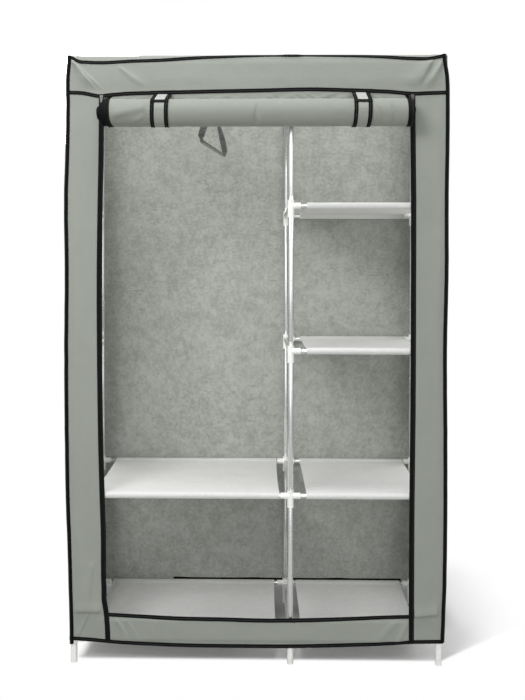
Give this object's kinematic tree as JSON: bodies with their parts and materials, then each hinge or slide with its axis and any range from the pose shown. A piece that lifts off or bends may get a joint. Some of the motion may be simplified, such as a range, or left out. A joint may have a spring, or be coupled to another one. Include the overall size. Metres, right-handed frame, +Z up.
{
  "type": "portable fabric wardrobe",
  "caption": "Free-standing wardrobe of plugged steel tubes with cloth shelves and a sewn zip-up cover whose front door rolls up under two straps.",
  "frame": {"origin": "on the floor under the middle of the whole wardrobe, rolled door and straps included", "axes": "+X to the right seen from the front, -Y out of the front, +Z up"},
  "size_m": [1.1034, 0.5298, 1.7575],
  "materials": {
    "tube": "gloss",
    "joint_plastic": "satin",
    "cover_cloth": "matte",
    "rear_cloth": "matte",
    "shelf_cloth": "matte",
    "binding": "matte",
    "zip_metal": "polished",
    "hanger_plastic": "satin",
    "hook_wire": "polished"
  },
  "bodies": {
    "root": {"post_front_left": "tube", "post_front_centre": "tube", "post_front_right": "tube", "post_rear_left": "tube", "post_rear_centre": "tube", "post_rear_right": "tube", "rail_front_left_0": "tube", "rail_rear_left_0": "tube", "rail_front_left_1": "tube", "rail_rear_left_1": "tube", "rail_front_left_4": "tube", "rail_rear_left_4": "tube", "rail_front_right_0": "tube", "rail_rear_right_0": "tube", "rail_front_right_1": "tube", "rail_rear_right_1": "tube", "rail_front_right_2": "tube", "rail_rear_right_2": "tube", "rail_front_right_3": "tube", "rail_rear_right_3": "tube", "rail_front_right_4": "tube", "rail_rear_right_4": "tube", "hanging_rail": "tube", "rung_left_0": "joint_plastic", "rung_left_1": "joint_plastic", "rung_left_4": "joint_plastic", "rung_centre_0": "joint_plastic", "rung_centre_1": "joint_plastic", "rung_centre_2": "joint_plastic", "rung_centre_3": "joint_plastic", "rung_centre_4": "joint_plastic", "rung_right_0": "joint_plastic", "rung_right_1": "joint_plastic", "rung_right_2": "joint_plastic", "rung_right_3": "joint_plastic", "rung_right_4": "joint_plastic", "shelf_left_0": "shelf_cloth", "shelf_left_1": "shelf_cloth", "shelf_right_0": "shelf_cloth", "shelf_right_1": "shelf_cloth", "shelf_right_2": "shelf_cloth", "shelf_right_3": "shelf_cloth", "cover_header": "cover_cloth", "cover_front_left": "cover_cloth", "cover_front_right": "cover_cloth", "cover_bottom_strip": "cover_cloth", "cover_side_left": "cover_cloth", "cover_side_right": "cover_cloth", "cover_top": "cover_cloth", "cover_rear": "rear_cloth", "zip_tape_left": "binding", "zip_tape_right": "binding"},
    "door": {"door_roll": "cover_cloth"},
    "strap_left": {"strap_tail_left": "cover_cloth"},
    "strap_right": {"strap_tail_right": "cover_cloth"},
    "slider_left": {"zip_slider_left": "zip_metal"},
    "slider_right": {"zip_slider_right": "zip_metal"},
    "hook": {"hanger_hook": "hook_wire"},
    "hanger": {"hanger_body": "hanger_plastic"}
  },
  "joints": [
    {"name": "door_unroll", "type": "slide", "parent": "root", "child": "door", "axis": [0, 0, -1], "range_m": [0, 1.39]},
    {"name": "strap_left_open", "type": "hinge", "parent": "root", "child": "strap_left", "pos_m": [-0.267, -0.26425, 1.58], "axis": [-1, 0, 0], "range_deg": [0, 80], "deforming": ["strap_tail_left"]},
    {"name": "strap_right_open", "type": "hinge", "parent": "root", "child": "strap_right", "pos_m": [0.294, -0.26425, 1.58], "axis": [-1, 0, 0], "range_deg": [0, 80], "deforming": ["strap_tail_right"]},
    {"name": "zip_left_slide", "type": "slide", "parent": "root", "child": "slider_left", "axis": [0, 0, -1], "range_m": [0, 1.39]},
    {"name": "zip_right_slide", "type": "slide", "parent": "root", "child": "slider_right", "axis": [0, 0, -1], "range_m": [0, 1.39]},
    {"name": "hanger_slide", "type": "slide", "parent": "root", "child": "hook", "axis": [1, 0, 0], "range_m": [-0.25, 0.09]},
    {"name": "hanger_turn", "type": "hinge", "parent": "hook", "child": "hanger", "pos_m": [-0.135, 0.04025, 1.655], "axis": [0, 0, 1], "range_deg": [-30, 30]}
  ],
  "couplings": [
    {"joint": "strap_left_open", "follows": "door_unroll", "rad_per_m": 1.004},
    {"joint": "strap_right_open", "follows": "door_unroll", "rad_per_m": 1.004},
    {"joint": "zip_left_slide", "follows": "door_unroll", "ratio": 1},
    {"joint": "zip_right_slide", "follows": "door_unroll", "ratio": 1}
  ]
}
